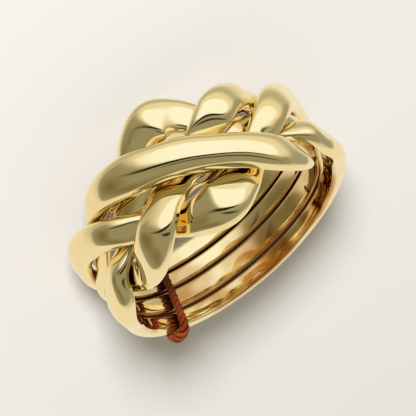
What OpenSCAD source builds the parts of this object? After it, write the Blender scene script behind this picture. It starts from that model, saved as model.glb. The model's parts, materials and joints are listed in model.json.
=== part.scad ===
// Puzzle ring: four closed bands that lie side by side round the back of the
// finger and weave into a knot at the front, with a thread tied round them.
// Millimetres. Ring coordinates: +Z runs along the finger hole towards the side
// that the photo looks at, the knot faces -Y. An angle is counted round the
// finger hole from the middle of the knot, positive towards -X.

/* [Ring] */
// Radius of the finger hole
inner_radius = 8.6; // [7.5:0.1:11]
// Sections of a band over the knot and its shoulders
knot_sections = 84; // [60:4:100]
// Sections of a band over the plain back of the ring
back_sections = 20; // [12:2:40]
// Points round one section of a band
section_sides = 16; // [12:4:20]

/* [Band section] */
// Height of the straight side of a band as a share of its thickness
side_share = 0.36; // [0.2:0.02:0.5]
// Squareness of the inner corners, smaller is squarer
inner_corner = 0.45; // [0.3:0.05:1]
// Roundness of the domed outside, one is an ellipse
dome_shape = 0.85; // [0.6:0.05:1]

/* [Resting] */
// Turn about X that lays the ring on its far side
rest_pitch = -10.3; // [-15:0.1:15]
// Turn about Y that lays the ring on its far side
rest_roll = -4.0; // [-5:0.1:5]
// Shift along X that centres the resting ring
rest_shift_x = 0.02; // [-3:0.01:3]
// Shift along Y that centres the resting ring
rest_shift_y = 0.89; // [-3:0.01:3]
// Lift that brings the lowest point to the floor
rest_lift = 4.67; // [0:0.01:12]

/* [Thread] */
// Thickness of the binding thread
thread_size = 0.62; // [0.4:0.02:0.9]
// Points round the thread
thread_sides = 8; // [8:1:12]
// Rings of the thread between two points of its route
thread_steps = 3; // [1:1:5]

/* [Hidden] */
// Angles where the close sections of the knot begin and end
knot_from = -88;
knot_to = 125;

// Band tables, a row per place along the band. Columns:
// angle, across (position along the finger axis), rise (inside face above the
// finger hole), width, thickness, lean (turn of the section about the band).
// A lane is the plain stretch of a band at the back: across and width.
LANE_4 = [-2.28, 1.32];
LANE_3 = [-0.885, 1.25];
LANE_2 = [0.69, 1.66];
LANE_1 = [2.29, 1.31];
BACK_THICKNESS = 1.05;
SHOULDER_THICKNESS = 1.5;

function back(angle, lane) = [angle, lane[0], 0, lane[1], BACK_THICKNESS, 0];
function shoulder(angle, lane) = [angle, lane[0], 0, lane[1], SHOULDER_THICKNESS, 0];

FAR_BAND = [
  [-88, -2.35, 0.20, 1.4, 1.35, 0],
  [-80, -2.55, 0.60, 1.7, 1.20, 0],
  [-71, -2.65, 0.88, 2.1, 1.20, 0],
  [-62, -2.40, 1.05, 2.3, 1.25, 0],
  [-52, -1.75, 1.32, 2.3, 1.30, 0],
  [-42, -0.75, 1.25, 2.2, 1.30, 0],
  [-33,  0.20, 0.75, 2.1, 1.00, 14],
  [-23,  1.42, 0.05, 2.05, 0.88, 10],
  [-12,  2.52, 0.05, 2.75, 1.20, 0],
  [  0,  3.05, 0.25, 3.6, 1.60, 0],
  [ 12,  2.42, 0.10, 3.15, 1.25, 0],
  [ 22,  1.60, 0.05, 2.3, 1.00, 10],
  [ 30,  0.70, 0.55, 2.2, 1.00, 14],
  [ 35,  0.15, 1.00, 2.3, 1.10, 10],
  [ 41, -0.50, 1.33, 2.5, 1.25, 0],
  [ 49, -1.35, 1.30, 2.7, 1.30, 0],
  [ 59, -2.10, 0.95, 2.5, 1.15, 0],
  [ 70, -2.50, 0.60, 2.1, 1.20, 0],
  [ 82, -2.45, 0.10, 1.6, 1.40, 0],
  shoulder(96, LANE_4), back(135, LANE_4), back(165, LANE_4), back(195, LANE_4), back(225, LANE_4)];

NEAR_BAND = [
  [-88,  2.42, 0.05, 1.65, 1.25, 0],
  [-80,  2.60, 0.40, 2.1, 1.25, 0],
  [-71,  2.55, 0.95, 2.4, 1.30, 0],
  [-62,  2.05, 1.15, 2.4, 1.30, 0],
  [-54,  1.10, 1.05, 1.9, 1.20, -15],
  [-46,  0.15, 0.20, 2.0, 0.90, -15],
  [-37, -1.25, 0.00, 2.35, 0.78, 0],
  [-22, -2.45, 0.00, 2.85, 0.95, 0],
  [-11, -4.20, 0.10, 3.0, 1.30, 0],
  [  0, -4.70, 0.30, 3.4, 1.60, 0],
  [ 10, -4.10, 0.05, 2.8, 1.15, 0],
  [ 19, -2.60, 0.00, 2.4, 0.95, 0],
  [ 28, -1.05, 0.00, 2.2, 0.90, 0],
  [ 37, -0.70, 0.00, 2.3, 0.72, 0],
  [ 45,  0.52, 0.25, 1.85, 0.90, -20],
  [ 53,  1.45, 1.05, 2.1, 1.15, -10],
  [ 62,  2.20, 0.88, 2.2, 1.15, 0],
  [ 72,  2.50, 0.60, 1.7, 1.25, 0],
  [ 84,  2.35, 0.10, 1.5, 1.60, 0],
  [ 97,  2.28, 0.00, 1.32, 1.60, 0],
  [115,  2.28, 0.00, 1.32, 1.35, 0],
  back(140, LANE_1), back(170, LANE_1), back(200, LANE_1), back(230, LANE_1)];

TOP_BAND = [
  [-88, -0.88, 0.00, 1.25, 1.20, 0],
  [-78, -1.15, 0.00, 1.35, 0.68, 0],
  [-69, -1.65, 0.00, 1.8, 0.70, 0],
  [-60, -2.35, 0.00, 2.1, 0.80, 0],
  [-50, -3.05, 0.15, 1.7, 1.15, 0],
  [-40, -3.25, 0.75, 2.2, 1.45, 0],
  [-30, -3.05, 1.20, 2.7, 1.60, 0],
  [-20, -2.50, 1.40, 3.0, 1.60, 0],
  [-10, -1.77, 1.40, 2.8, 1.60, 0],
  [  0, -0.94, 1.38, 2.7, 1.60, 0],
  [ 10,  0.17, 1.40, 2.55, 1.60, 0],
  [ 20,  1.28, 1.42, 2.6, 1.55, 0],
  [ 30,  2.50, 1.38, 2.8, 1.40, 0],
  [ 39,  3.00, 0.90, 2.7, 1.20, -6],
  [ 48,  2.70, 0.15, 2.5, 0.95, -8],
  [ 58,  1.90, 0.00, 2.2, 0.70, 0],
  [ 68,  1.05, 0.00, 1.7, 0.65, 0],
  [ 78,  0.80, 0.15, 1.3, 0.90, 0],
  [ 88,  0.40, 0.72, 1.25, 0.85, 0],
  [ 98, -0.20, 0.86, 1.25, 0.80, 0],
  [106, -0.68, 0.60, 1.2, 0.85, 0],
  [114, -0.86, 0.15, 1.2, 0.95, 0],
  back(127, LANE_3), back(152, LANE_3), back(185, LANE_3), back(225, LANE_3)];

CROSS_BAND = [
  [-88,  0.66, 0.00, 1.55, 1.20, 0],
  [-78,  0.70, 0.00, 1.6, 0.95, 0],
  [-69,  0.85, 0.00, 1.7, 0.85, 0],
  [-61,  1.20, 0.00, 2.3, 0.90, 0],
  [-53,  2.05, 0.00, 2.3, 0.90, -3],
  [-45,  2.65, 0.50, 2.6, 1.15, -8],
  [-36,  2.65, 1.20, 2.9, 1.40, 0],
  [-26,  1.80, 1.65, 2.9, 1.30, 0],
  [-16,  0.58, 1.00, 2.65, 1.15, -17],
  [ -6, -0.10, 0.15, 2.2, 0.92, -8],
  [  3, -0.42, 0.10, 2.95, 0.85, 6],
  [  9, -1.07, 0.38, 3.1, 0.76, 15],
  [ 15, -2.00, 1.03, 2.55, 1.20, 12],
  [ 21, -2.47, 1.35, 2.8, 1.35, 3],
  [ 28, -2.90, 1.20, 2.7, 1.40, 0],
  [ 37, -3.05, 0.65, 2.5, 1.20, 0],
  [ 46, -2.70, 0.00, 2.1, 1.00, 0],
  [ 57, -1.60, 0.00, 1.7, 0.75, 0],
  [ 68, -0.92, 0.00, 1.45, 0.70, 0],
  [ 80, -0.80, 0.00, 1.25, 0.68, 0],
  [ 92, -0.20, 0.00, 1.3, 0.62, 0],
  [104,  0.52, 0.00, 1.4, 0.68, 0],
  [113,  0.68, 0.00, 1.5, 0.85, 0],
  back(127, LANE_2), back(152, LANE_2), back(185, LANE_2), back(225, LANE_2)];

// Value of a table at an angle, smooth through its rows and round the ring
function row(t, i) = let(n = len(t))
  i < 0 ? t[i + n] - [360, 0, 0, 0, 0, 0] :
  i >= n ? t[i - n] + [360, 0, 0, 0, 0, 0] : t[i];
function place(t, a, i = 0) = i + 1 >= len(t) || t[i + 1][0] > a ? i : place(t, a, i + 1);
function slope(t, i) = (row(t, i + 1) - row(t, i - 1)) / (row(t, i + 1)[0] - row(t, i - 1)[0]);
function blend(t, a) = let(
    i = place(t, a), p = row(t, i), q = row(t, i + 1),
    h = q[0] - p[0], u = (a - p[0]) / h, u2 = u * u, u3 = u2 * u)
  (2 * u3 - 3 * u2 + 1) * p + (u3 - 2 * u2 + u) * h * slope(t, i)
  + (3 * u2 - 2 * u3) * q + (u3 - u2) * h * slope(t, i + 1);

// Angle of a section: close together over the knot, wider at the back
sections = knot_sections + back_sections;
function section_angle(k) = k < knot_sections
  ? knot_from + (knot_to - knot_from) * k / knot_sections
  : knot_to + (360 - (knot_to - knot_from)) * (k - knot_sections) / back_sections;

function unit(v) = v / norm(v);
function around(angle, radius, across) = [-radius * sin(angle), -radius * cos(angle), across];
function middle(t, a) = let(r = blend(t, a > knot_from + 360 ? a - 360 : a < knot_from ? a + 360 : a))
  around(a, inner_radius + r[2], r[1]);

// One point of a section: flat inside face, straight sides, domed outside
function power(v, p) = v == 0 ? 0 : sign(v) * pow(abs(v), p);
function profile(j, w, th) = let(
    a = 360 * j / section_sides, c = cos(a), s = sin(a), side = th * side_share)
  s >= 0 ? [w / 2 * power(c, dome_shape), side + (th - side) * pow(s, dome_shape)]
         : [w / 2 * power(c, inner_corner), side * (1 - pow(-s, inner_corner))];

function section(t, a) = let(
    r = blend(t, a), m = middle(t, a),
    along = middle(t, a + 0.5) - middle(t, a - 0.5),
    up = around(a, 1, 0), side = unit(cross(up, along)), lean = r[5])
  [for (j = [0 : section_sides - 1]) let(p = profile(j, r[3], r[4]),
      x = p[0] * cos(lean) - p[1] * sin(lean), y = p[0] * sin(lean) + p[1] * cos(lean))
    m + side * x + up * y];

// Closed solid through a ring of sections
module loop_solid(rings) {
  n = len(rings);
  m = len(rings[0]);
  polyhedron(
    points = [for (r = rings) for (p = r) p],
    faces = [for (i = [0 : n - 1]) for (j = [0 : m - 1]) let(
        i2 = (i + 1) % n, j2 = (j + 1) % m,
        a = i * m + j, b = i * m + j2, c = i2 * m + j2, d = i2 * m + j)
      for (f = [[a, c, b], [a, d, c]]) f],
    convexity = 10);
}

module resting() {
  translate([rest_shift_x, rest_shift_y, rest_lift]) rotate([rest_pitch, rest_roll, 0]) children();
}

module band(t) {
  resting() loop_solid([for (k = [0 : sections - 1]) section(t, section_angle(k))]);
}

// Route of the binding thread round all four bands, chosen by hand.
// Columns: angle, distance from the middle of the finger hole, across.
THREAD_ROUTE = [
  [-147.0, 8.17, -2.68], [-145.0, 8.17, -1.60], [-141.5, 8.17, 0.00], [-137.5, 8.17, 1.50],
  [-134.0, 8.17, 2.68], [-132.8, 8.44, 3.25], [-132.4, 9.00, 3.37], [-132.7, 9.60, 3.21],
  [-134.0, 10.01, 2.62], [-137.5, 10.11, 1.30], [-141.5, 10.11, -0.30], [-145.5, 10.11, -1.60],
  [-147.5, 10.01, -2.62], [-148.5, 9.60, -3.21], [-148.8, 9.00, -3.37], [-148.2, 8.44, -3.25]];

// Smooth closed curve through the route
function route_point(i) = let(p = THREAD_ROUTE[(i + len(THREAD_ROUTE)) % len(THREAD_ROUTE)])
  around(p[0], p[1], p[2]);
function route_curve(i, u) = let(
    a = route_point(i - 1), b = route_point(i), c = route_point(i + 1), d = route_point(i + 2))
  0.5 * (2 * b + (c - a) * u + (2 * a - 5 * b + 4 * c - d) * u * u
  + (3 * b - a - 3 * c + d) * u * u * u);

THREAD_ANGLE = -140.5; // middle of the route
module thread_tube() {
  n = len(THREAD_ROUTE) * thread_steps;
  path = [for (k = [0 : n - 1]) route_curve(floor(k / thread_steps), (k % thread_steps) / thread_steps)];
  round_the_ring = around(THREAD_ANGLE - 90, 1, 0);
  loop_solid([for (k = [0 : n - 1]) let(
      along = unit(path[(k + 1) % n] - path[(k + n - 1) % n]),
      u = unit(cross(along, round_the_ring)), v = cross(along, u))
    [for (j = [0 : thread_sides - 1]) let(a = 360 * j / thread_sides)
      path[k] + thread_size / 2 * (cos(a) * u + sin(a) * v)]]);
}

module far_band() { color([0.90, 0.77, 0.45]) band(FAR_BAND); }
module near_band() { color([0.92, 0.79, 0.47]) band(NEAR_BAND); }
module top_band() { color([0.94, 0.81, 0.49]) band(TOP_BAND); }
module cross_band() { color([0.88, 0.75, 0.43]) band(CROSS_BAND); }

module binding_thread() { color([0.74, 0.30, 0.10]) resting() thread_tube(); }

far_band();
near_band();
top_band();
cross_band();
binding_thread();
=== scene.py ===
"""A gold puzzle ring of four interlinked bands, tied with a twisted thread, lying on a pale floor."""

import json
import math

import bpy
from mathutils import Euler, Matrix, Vector
from mathutils.bvhtree import BVHTree

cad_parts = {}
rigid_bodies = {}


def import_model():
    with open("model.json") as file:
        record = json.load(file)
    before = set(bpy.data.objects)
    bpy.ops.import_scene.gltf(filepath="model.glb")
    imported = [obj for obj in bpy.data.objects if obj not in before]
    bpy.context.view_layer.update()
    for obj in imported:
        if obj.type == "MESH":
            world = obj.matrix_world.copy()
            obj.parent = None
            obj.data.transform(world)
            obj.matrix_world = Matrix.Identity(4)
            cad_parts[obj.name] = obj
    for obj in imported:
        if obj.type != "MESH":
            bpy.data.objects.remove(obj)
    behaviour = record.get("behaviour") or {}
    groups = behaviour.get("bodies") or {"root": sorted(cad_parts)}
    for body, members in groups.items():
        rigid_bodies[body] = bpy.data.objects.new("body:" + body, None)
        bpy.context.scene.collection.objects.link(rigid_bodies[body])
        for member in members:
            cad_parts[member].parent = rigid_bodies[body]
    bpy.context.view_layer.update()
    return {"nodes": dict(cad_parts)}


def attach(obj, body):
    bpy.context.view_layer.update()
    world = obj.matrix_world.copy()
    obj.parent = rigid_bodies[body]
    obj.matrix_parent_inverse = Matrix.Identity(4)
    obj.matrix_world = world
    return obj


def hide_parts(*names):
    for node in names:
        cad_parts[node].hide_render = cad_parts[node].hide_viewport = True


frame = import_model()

MM = 0.001

# Ring coordinates: +Z runs along the finger hole, the knot faces -Y.
# The ring rests on its far side, so they are turned and lifted to the floor.
REST_TURN = (-10.3, -4.0, 0.0)
REST_SHIFT = (0.02, 0.89, 4.67)
ring_to_floor = Matrix.Translation(Vector(REST_SHIFT) * MM) @ Euler(
    [math.radians(angle) for angle in REST_TURN]).to_matrix().to_4x4()

# The photograph's view of the ring, in ring coordinates
VIEW_DIRECTION = (0.106, -0.932, 0.346)
VIEW_UP = (-0.614, -0.335, -0.714)
VIEW_DISTANCE = 258 * MM
VIEW_LENS = 311.5
VIEW_FILM = 36
VIEW_OFFSET_RIGHT = -0.36 * MM
VIEW_OFFSET_UP = 0.65 * MM
VIEW_NEAREST = 10 * MM
VIEW_FARTHEST = 20.0

# Bands: how finely they are rounded, how often their corners are brought back to
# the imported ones, and how far off their neighbours are looked for
ROUNDING_LEVELS = 2
ROUNDING_PASSES = 4
MERGE_DISTANCE = 0.001 * MM
NEIGHBOUR_REACH = 1.0 * MM

# Gold: two tones of the polish, the gold and the brown painted shade in patches inside
# the ring, and the brown and the dark painted shade where two bands nearly touch
PALE_GOLD = (0.94, 0.81, 0.49, 1)
WARM_GOLD = (0.93, 0.78, 0.44, 1)
INNER_GOLD = (0.95, 0.78, 0.42, 1)
INNER_PAINTED_SHADE = (0.50, 0.23, 0.045, 1)
BROWN_PAINTED_SHADE = (0.42, 0.19, 0.04, 1)
DARK_PAINTED_SHADE = (0.050, 0.016, 0.005, 1)
POLISH_ROUGHNESS = 0.03
HAZE_ROUGHNESS = 0.04
WAVE_STRENGTH = 0.12
WAVE_HEIGHT = 0.12 * MM

# Where the painted shade on the gold starts and ends, in millimetres: distance from the
# middle of the finger hole, place along it, and gap to the next band
INNER_WALL = (8.62, 9.15)
INNER_SHADE_ACROSS = (-1.5, 2.6)
BROWN_PAINTED_SHADE_GAP = (0.18, 0.42)
DARK_PAINTED_SHADE_GAP = (0.12, 0.21)

# Fineness of the noise in the gold and the cotton, per metre
WAVES = 260
HAZE = 900
POLISH_TONES = 140
INNER_SHADE_PATCHES = 210
COTTON_TONES = 900

# Route of the binding thread: angle round the ring, distance from the middle
# of the finger hole, place along the finger hole
THREAD_ROUTE = (
    (-147.0, 8.17, -2.68), (-145.0, 8.17, -1.60), (-141.5, 8.17, 0.00), (-137.5, 8.17, 1.50),
    (-134.0, 8.17, 2.68), (-132.8, 8.44, 3.25), (-132.4, 9.00, 3.37), (-132.7, 9.60, 3.21),
    (-134.0, 10.01, 2.62), (-137.5, 10.11, 1.30), (-141.5, 10.11, -0.30), (-145.5, 10.11, -1.60),
    (-147.5, 10.01, -2.62), (-148.5, 9.60, -3.21), (-148.8, 9.00, -3.37), (-148.2, 8.44, -3.25))

# Middle of the route, and points that the curve has from one route point to the next
THREAD_ANGLE = -140.5
THREAD_STEPS = 24

# The thread is thicker where it bends over the near rim, at this point of its route
BEND = (-132.4, 9.00, 3.37)
BEND_REACH = 0.75 * MM
BEND_SWELL = 0.46

# Plies of the thread
PLIES = 3
PLY_PITCH = 1.4 * MM
PLY_RADIUS = 0.165 * MM
TWIST_RADIUS = 0.145 * MM
PLY_SIDES = 10

# Cotton: two tones on the backs of the plies, and the painted shade between them
DARK_COTTON = (0.070, 0.009, 0.0014, 1)
ORANGE_COTTON = (0.14, 0.024, 0.003, 1)
COTTON_PAINTED_SHADE = (0.012, 0.0015, 0.0005, 1)
FIBRES = 3.0
FIBRE_STRETCH = (9, 1.2, 1)
FIBRE_HEIGHT = 0.04 * MM

# Floor and lamp, in metres and watts
FLOOR_SIZE = 3.0
FLOOR_PAPER = (0.505, 0.489, 0.474, 1)
LAMP_PLACE = (0.0, -0.84, 0.34)
LAMP_SIZE = 0.20
LAMP_POWER = 28.0

# Patches of the tent that the gold reflects, painted in this order over its
# cream cloth: right of the photograph's camera and above it in degrees, half
# width, half height, turn, squareness, softness of the edge, colour
CREAM_CLOTH = (0.90, 0.84, 0.70, 1)
TENT_PATCHES = (
    (5, 30, 108, 98, 0, 2.4, 0.16, (0.52, 0.51, 0.40, 1)),
    (-8, -2, 84, 66, 8, 2.6, 0.05, (0.33, 0.315, 0.22, 1)),
    (95, 20, 26, 60, 0, 2.4, 0.25, (0.38, 0.37, 0.29, 1)),
    (8, 54, 66, 42, 0, 2.2, 0.22, (0.88, 0.81, 0.64, 1)),
    (4, 44, 46, 27, 8, 2.6, 0.16, (1.06, 1.12, 1.20, 1)),
    (-66, -14, 15, 20, 15, 2.0, 0.90, (0.20, 0.17, 0.075, 1)),
    (-30, -46, 34, 13, -24, 2.0, 0.90, (0.22, 0.185, 0.09, 1)),
    (-4, 13, 46, 4.5, 7, 2.0, 0.40, (0.012, 0.010, 0.006, 1)),
    (16, -6, 34, 4, -8, 2.0, 0.35, (0.04, 0.03, 0.018, 1)))

# Added to a length, so that nothing is divided by zero straight at the camera
MIDDLE_SPOT = 0.0001

# Places of the Mix node's colour sockets
MIX_FACTOR, MIX_FIRST, MIX_SECOND, MIX_RESULT = 0, 6, 7, 2


def turned(vector):
    """A direction of the ring's coordinates in the floor's."""
    return (ring_to_floor.to_3x3() @ Vector(vector)).normalized()


# Camera


def view_axes():
    """The photograph's right, up and back directions, on the floor."""
    back = turned(VIEW_DIRECTION)
    right = turned(VIEW_UP).cross(back).normalized()
    return right, back.cross(right), back


def photo_camera():
    """A camera that sees the ring as the photograph does."""
    right, up, back = view_axes()
    middle = ring_to_floor.translation
    camera = bpy.data.objects.new("camera", bpy.data.cameras.new("camera"))
    bpy.context.scene.collection.objects.link(camera)
    camera.data.lens = VIEW_LENS
    camera.data.sensor_width = VIEW_FILM
    camera.data.clip_start = VIEW_NEAREST
    camera.data.clip_end = VIEW_FARTHEST
    place = middle + back * VIEW_DISTANCE
    aim = middle + right * VIEW_OFFSET_RIGHT + up * VIEW_OFFSET_UP
    back = (place - aim).normalized()
    right = up.cross(back).normalized()
    up = back.cross(right)
    camera.matrix_world = Matrix.Translation(place) @ Matrix((right, up, back)).transposed().to_4x4()
    bpy.context.scene.camera = camera


photo_camera()


# Shader expressions


class Value:
    """A shader socket: an expression on it adds the Math nodes that work it out."""

    def __init__(self, shader, socket):
        self.shader = shader
        self.socket = socket

    def math(self, operation, *values):
        """The result of a Math node on these values."""
        node = self.shader.node("ShaderNodeMath", {"operation": operation}, dict(enumerate(values)))
        return node[0]

    def __add__(self, other):
        return self.math("ADD", self, other)

    def __radd__(self, other):
        return self.math("ADD", other, self)

    def __sub__(self, other):
        return self.math("SUBTRACT", self, other)

    def __rsub__(self, other):
        return self.math("SUBTRACT", other, self)

    def __mul__(self, other):
        return self.math("MULTIPLY", self, other)

    def __rmul__(self, other):
        return self.math("MULTIPLY", other, self)

    def __truediv__(self, other):
        return self.math("DIVIDE", self, other)

    def __pow__(self, other):
        return self.math("POWER", self, other)

    def __abs__(self):
        return self.math("ABSOLUTE", self)

    def math_of(self, operation):
        """The result of a Math node on this value alone."""
        return self.math(operation, self)

    def smooth(self, low, high):
        """0 below low, 1 above high, smooth between them."""
        node = self.shader.node(
            "ShaderNodeMapRange", {"interpolation_type": "SMOOTHSTEP"},
            {"Value": self, "From Min": low, "From Max": high})
        return node["Result"]


class Node:
    """A shader node whose outputs are read by name or number."""

    def __init__(self, shader, node):
        self.shader = shader
        self.node = node

    def __getitem__(self, name):
        return Value(self.shader, self.node.outputs[name])


class Shader:
    """The node tree of a material or of the world."""

    def __init__(self, owner):
        owner.use_nodes = True
        self.tree = owner.node_tree
        self.tree.nodes.clear()

    def node(self, kind, settings=None, inputs=None):
        """Adds a node, then sets its settings, then gives its sockets values or links."""
        node = self.tree.nodes.new(kind)
        for name, value in (settings or {}).items():
            setattr(node, name, value)
        for name, value in (inputs or {}).items():
            if isinstance(value, Value):
                self.tree.links.new(value.socket, node.inputs[name])
            else:
                node.inputs[name].default_value = value
        return Node(self, node)

    def mix(self, factor, first, second):
        """A mix of two colours."""
        inputs = {MIX_FACTOR: factor, MIX_FIRST: first, MIX_SECOND: second}
        return self.node("ShaderNodeMix", {"data_type": "RGBA"}, inputs)[MIX_RESULT]

    def dot(self, vector, direction):
        """How far a vector points along a direction."""
        node = self.node("ShaderNodeVectorMath", {"operation": "DOT_PRODUCT"}, {0: vector, 1: direction})
        return node["Value"]

    def noise(self, vector, scale, detail=2.0, roughness=0.5):
        """Soft noise around 0.5."""
        node = self.node("ShaderNodeTexNoise", None, {
            "Vector": vector, "Scale": scale, "Detail": detail, "Roughness": roughness})
        return node["Fac"]


# Finishes


def ring_place(shader, place):
    """Ring coordinates of a place in millimetres: sideways, towards the back, across."""
    middle = ring_to_floor.translation
    axes = [turned(axis) for axis in ((1, 0, 0), (0, 1, 0), (0, 0, 1))]
    return [(shader.dot(place, axis) - middle.dot(axis)) * (1 / MM) for axis in axes]


def polished_gold():
    """Yellow gold, with painted shade inside the ring and where two bands nearly touch."""
    material = bpy.data.materials.new("polished_gold")
    shader = Shader(material)
    place = shader.node("ShaderNodeTexCoord")["Object"]
    sideways, backward, across = ring_place(shader, place)
    distance = (sideways * sideways + backward * backward) ** 0.5
    # Painted shade on the inner wall of the ring, heavier towards the +Z side along the finger hole
    inside = (1 - distance.smooth(*INNER_WALL)) * (0.5 + across.smooth(*INNER_SHADE_ACROSS) * 0.5)
    gap = shader.node("ShaderNodeAttribute", {"attribute_name": "gap"})["Fac"]

    polish_tone = shader.noise(place, POLISH_TONES, detail=1.0).smooth(0.35, 0.65)
    # Random patches of gold and of brown painted shade inside the ring
    painted_shade_patches = shader.noise(place, INNER_SHADE_PATCHES).smooth(0.40, 0.60)
    colour = shader.mix(polish_tone, PALE_GOLD, WARM_GOLD)
    colour = shader.mix(inside, colour, shader.mix(painted_shade_patches, INNER_GOLD, INNER_PAINTED_SHADE))
    # Brown painted shade beside the crevices between the bands
    colour = shader.mix((1 - gap.smooth(*BROWN_PAINTED_SHADE_GAP)) * 0.75, colour, BROWN_PAINTED_SHADE)

    waves = shader.noise(place, WAVES, detail=1.0)
    haze = shader.noise(place, HAZE, detail=3.0)
    bump = shader.node("ShaderNodeBump", None, {
        "Height": waves, "Strength": WAVE_STRENGTH, "Distance": WAVE_HEIGHT})
    gold = shader.node("ShaderNodeBsdfPrincipled", None, {
        "Base Color": colour, "Metallic": 1.0,
        "Roughness": POLISH_ROUGHNESS + haze * HAZE_ROUGHNESS, "Normal": bump["Normal"]})
    # A dark diffuse painted shade takes the place of the gold in the narrowest crevices
    shade = shader.node("ShaderNodeBsdfDiffuse", None, {"Color": DARK_PAINTED_SHADE})
    painted_shade_amount = 1 - gap.smooth(*DARK_PAINTED_SHADE_GAP)
    surface = shader.node("ShaderNodeMixShader", None, {0: painted_shade_amount, 1: gold["BSDF"], 2: shade["BSDF"]})
    shader.node("ShaderNodeOutputMaterial", None, {"Surface": surface[0]})
    return material


def twisted_cotton():
    """Orange-brown cotton on the back of each ply, with painted shade where the plies meet."""
    material = bpy.data.materials.new("twisted_cotton")
    shader = Shader(material)
    place = shader.node("ShaderNodeTexCoord")["Object"]
    unwrapped = shader.node("ShaderNodeUVMap", {"uv_map": "strand"})["UV"]
    split = shader.node("ShaderNodeSeparateXYZ", None, {"Vector": unwrapped})
    stretched = shader.node("ShaderNodeMapping", None, {"Vector": unwrapped, "Scale": FIBRE_STRETCH})
    fibres = shader.noise(stretched["Vector"], FIBRES, detail=3.0, roughness=0.6)
    tone = shader.noise(place, COTTON_TONES).smooth(0.3, 0.7)
    outward = (split["X"] * (2 * math.pi)).math_of("COSINE")
    # Painted shade in the valleys between the plies, none on the back of each ply
    unshaded_ply_back = (outward + fibres * 0.5).smooth(0.45, 1.15)
    colour = shader.mix(unshaded_ply_back, COTTON_PAINTED_SHADE, shader.mix(tone, DARK_COTTON, ORANGE_COTTON))
    bump = shader.node("ShaderNodeBump", None, {
        "Height": fibres, "Strength": 0.5, "Distance": FIBRE_HEIGHT})
    cotton = shader.node("ShaderNodeBsdfPrincipled", None, {
        "Base Color": colour, "Roughness": 0.55, "Normal": bump["Normal"],
        "Specular IOR Level": 0.25})
    shader.node("ShaderNodeOutputMaterial", None, {"Surface": cotton["BSDF"]})
    return material


def pale_paper():
    """The matt paper of the floor."""
    material = bpy.data.materials.new("pale_paper")
    shader = Shader(material)
    paper = shader.node("ShaderNodeBsdfPrincipled", None, {
        "Base Color": FLOOR_PAPER, "Roughness": 0.7, "Specular IOR Level": 0.2})
    shader.node("ShaderNodeOutputMaterial", None, {"Surface": paper["BSDF"]})
    return material


# Pieces


def select_only(piece):
    """Makes a piece the only selected one."""
    bpy.ops.object.select_all(action="DESELECT")
    piece.select_set(True)
    bpy.context.view_layer.objects.active = piece


def round_off(band):
    """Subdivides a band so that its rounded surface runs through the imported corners."""
    rounding = band.modifiers.new("rounding", "SUBSURF")
    rounding.levels = ROUNDING_LEVELS
    rounding.render_levels = ROUNDING_LEVELS
    packed = [vertex.co.copy() for vertex in band.data.vertices]
    for _ in range(ROUNDING_PASSES):
        depsgraph = bpy.context.evaluated_depsgraph_get()
        rounded = [vertex.co.copy() for vertex in band.evaluated_get(depsgraph).data.vertices]
        for vertex, wanted, reached in zip(band.data.vertices, packed, rounded):
            vertex.co += wanted - reached
        band.data.update()
    bpy.ops.object.modifier_apply(modifier=rounding.name)
    bpy.ops.object.shade_smooth()


def rounded_band(node, name, material):
    """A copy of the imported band, its facets merged to quads and rounded."""
    select_only(frame["nodes"][node])
    bpy.ops.object.duplicate()
    band = bpy.context.view_layer.objects.active
    band.name = name
    band.data.name = name
    for key in list(band.keys()):
        del band[key]
    bpy.ops.object.parent_clear(type="CLEAR_KEEP_TRANSFORM")
    bpy.ops.object.mode_set(mode="EDIT")
    bpy.ops.mesh.select_all(action="SELECT")
    bpy.ops.mesh.remove_doubles(threshold=MERGE_DISTANCE)
    bpy.ops.mesh.tris_convert_to_quads(face_threshold=math.pi, shape_threshold=math.pi)
    bpy.ops.object.mode_set(mode="OBJECT")
    round_off(band)
    band.data.materials.clear()
    band.data.materials.append(material)
    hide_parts(node)
    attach(band, "root")
    return band


def measure_gaps(bands):
    """Stores at each corner of a band its distance to the nearest other band, in millimetres."""
    trees = []
    for band in bands:
        corners = [vertex.co for vertex in band.data.vertices]
        trees.append(BVHTree.FromPolygons(corners, [face.vertices for face in band.data.polygons]))
    for band in bands:
        others = [tree for other, tree in zip(bands, trees) if other is not band]
        layer = band.data.attributes.new("gap", "FLOAT", "POINT")
        for vertex, corner in zip(band.data.vertices, layer.data):
            found = [tree.find_nearest(vertex.co, NEIGHBOUR_REACH)[3] for tree in others]
            corner.value = min([gap for gap in found if gap is not None] + [NEIGHBOUR_REACH]) / MM


def around(angle, distance, across):
    """A point of the ring's coordinates, in metres."""
    turn = math.radians(angle)
    return Vector((-distance * math.sin(turn), -distance * math.cos(turn), across)) * MM


def smooth_loop(points, steps):
    """Points of the smooth closed curve through a list of points."""
    count = len(points)
    loop = []
    for i in range(count):
        a, b, c, d = (points[(i + k) % count] for k in (-1, 0, 1, 2))
        for step in range(steps):
            u = step / steps
            loop.append(0.5 * (2 * b + (c - a) * u + (2 * a - 5 * b + 4 * c - d) * u * u
                               + (3 * b - a - 3 * c + d) * u ** 3))
    return loop


def loop_axes(path, k, reference):
    """Two directions square to a closed path at one of its points."""
    along = (path[(k + 1) % len(path)] - path[k - 1]).normalized()
    u = along.cross(reference).normalized()
    return u, along.cross(u)


def closed_tube(path, radii, sides, reference):
    """Corners and faces of a closed round tube along a loop of points."""
    count = len(path)
    corners = []
    for k in range(count):
        u, v = loop_axes(path, k, reference)
        for j in range(sides):
            turn = 2 * math.pi * j / sides
            corners.append(path[k] + radii[k] * (math.cos(turn) * u + math.sin(turn) * v))
    faces = []
    for k in range(count):
        for j in range(sides):
            k2, j2 = (k + 1) % count, (j + 1) % sides
            faces.append((k * sides + j, k * sides + j2, k2 * sides + j2, k2 * sides + j))
    return corners, faces


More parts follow.
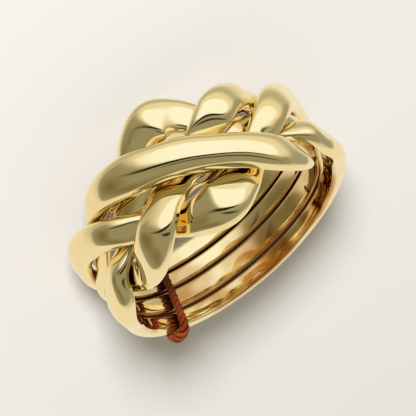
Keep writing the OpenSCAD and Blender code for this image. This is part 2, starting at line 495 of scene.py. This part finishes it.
def thread_plies():
    """Corners and faces of the plies, twisted round the route, and their unwrapped places."""
    reference = around(THREAD_ANGLE - 90, 1, 0).normalized()
    core = smooth_loop([around(*row) for row in THREAD_ROUTE], THREAD_STEPS)
    count = len(core)
    reached = [0.0]
    for k in range(count):
        reached.append(reached[-1] + (core[(k + 1) % count] - core[k]).length)
    length = reached[-1]
    turns = round(length / PLY_PITCH)
    bend = around(*BEND)
    swell = [1 + BEND_SWELL * math.exp(-((point - bend).length / BEND_REACH) ** 2) for point in core]
    corners, faces, strand = [], [], []
    for ply in range(PLIES):
        path = []
        for k in range(count):
            u, v = loop_axes(core, k, reference)
            phase = 2 * math.pi * (turns * reached[k] / length + ply / PLIES)
            path.append(core[k] + TWIST_RADIUS * swell[k] * (math.cos(phase) * u + math.sin(phase) * v))
        ply_radii = [PLY_RADIUS * size for size in swell]
        ply_corners, ply_faces = closed_tube(path, ply_radii, PLY_SIDES, reference)
        first = len(corners)
        corners += [ring_to_floor @ corner for corner in ply_corners]
        faces += [tuple(first + index for index in face) for face in ply_faces]
        for k in range(count):
            low, high = reached[k] / PLY_PITCH, reached[k + 1] / PLY_PITCH
            start = turns * reached[k] / length + ply / PLIES
            end = turns * reached[k + 1] / length + ply / PLIES
            for j in range(PLY_SIDES):
                left, right = j / PLY_SIDES, (j + 1) / PLY_SIDES
                strand += [(left - start, low), (right - start, low), (right - end, high), (left - end, high)]
    return corners, faces, strand


def twisted_thread(material):
    """The binding thread, one mesh of three plies."""
    corners, faces, strand = thread_plies()
    mesh = bpy.data.meshes.new("binding_thread_twisted")
    mesh.from_pydata(corners, [], faces)
    layer = mesh.uv_layers.new(name="strand")
    for loop, place in zip(layer.data, strand):
        loop.uv = place
    thread = bpy.data.objects.new("binding_thread_twisted", mesh)
    bpy.context.scene.collection.objects.link(thread)
    select_only(thread)
    bpy.ops.object.mode_set(mode="EDIT")
    bpy.ops.mesh.select_all(action="SELECT")
    bpy.ops.mesh.normals_make_consistent(inside=False)
    bpy.ops.object.mode_set(mode="OBJECT")
    bpy.ops.object.shade_smooth()
    mesh.materials.append(material)
    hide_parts("binding_thread")
    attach(thread, "root")


gold = polished_gold()
measure_gaps([
    rounded_band("far_band", "far_band_polished", gold),
    rounded_band("near_band", "near_band_polished", gold),
    rounded_band("top_band", "top_band_polished", gold),
    rounded_band("cross_band", "cross_band_polished", gold)])
twisted_thread(twisted_cotton())


# Floor and light


def paper_floor():
    """The floor. The gold doesn't show it, as the photograph's gold shows none."""
    bpy.ops.object.select_all(action="DESELECT")
    bpy.ops.mesh.primitive_plane_add(size=FLOOR_SIZE, location=(0, 0, 0))
    floor = bpy.context.view_layer.objects.active
    floor.name = "floor"
    floor.data.materials.append(pale_paper())
    floor.visible_glossy = False


def tent_patch(right, up, middle_right, middle_up, half_width, half_height, turn, square, edge):
    """How far a direction lies inside a patch of the tent: 0 outside, 1 inside."""
    cosine, sine = math.cos(math.radians(turn)), math.sin(math.radians(turn))
    over, above = right - middle_right, up - middle_up
    along = abs(over * cosine + above * sine) * (1 / half_width)
    beside = abs(above * cosine - over * sine) * (1 / half_height)
    reach = (along ** square + beside ** square) ** (1 / square)
    return 1 - reach.smooth(1 - edge, 1 + edge)


def studio_tent():
    """A cream tent with a grey opening and a bright window round the camera."""
    world = bpy.data.worlds.new("studio_tent")
    bpy.context.scene.world = world
    shader = Shader(world)
    direction = shader.node("ShaderNodeTexCoord")["Generated"]
    rightward, upward, back = view_axes()
    over, above = shader.dot(direction, rightward), shader.dot(direction, upward)
    turn = shader.dot(direction, back).math_of("ARCCOSINE") * (180 / math.pi)
    stretch = turn / ((over * over + above * above) ** 0.5 + MIDDLE_SPOT)
    right, up = over * stretch, above * stretch
    colour = CREAM_CLOTH
    for *patch, patch_colour in TENT_PATCHES:
        colour = shader.mix(tent_patch(right, up, *patch), colour, patch_colour)
    light = shader.node("ShaderNodeBackground", None, {"Color": colour, "Strength": 1.0})
    shader.node("ShaderNodeOutputWorld", None, {"Surface": light["Background"]})


def soft_lamp(name, place, size, power):
    """A round lamp that shines on the ring. The gold doesn't show it."""
    lamp = bpy.data.objects.new(name, bpy.data.lights.new(name, "AREA"))
    bpy.context.scene.collection.objects.link(lamp)
    lamp.data.shape = "DISK"
    lamp.data.size = size
    lamp.data.energy = power
    lamp.location = place
    lamp.rotation_euler = (-Vector(place)).to_track_quat("-Z", "Y").to_euler()
    lamp.visible_glossy = False


paper_floor()
studio_tent()
soft_lamp("front_lamp", LAMP_PLACE, LAMP_SIZE, LAMP_POWER)
bpy.context.scene.view_settings.view_transform = "Standard"
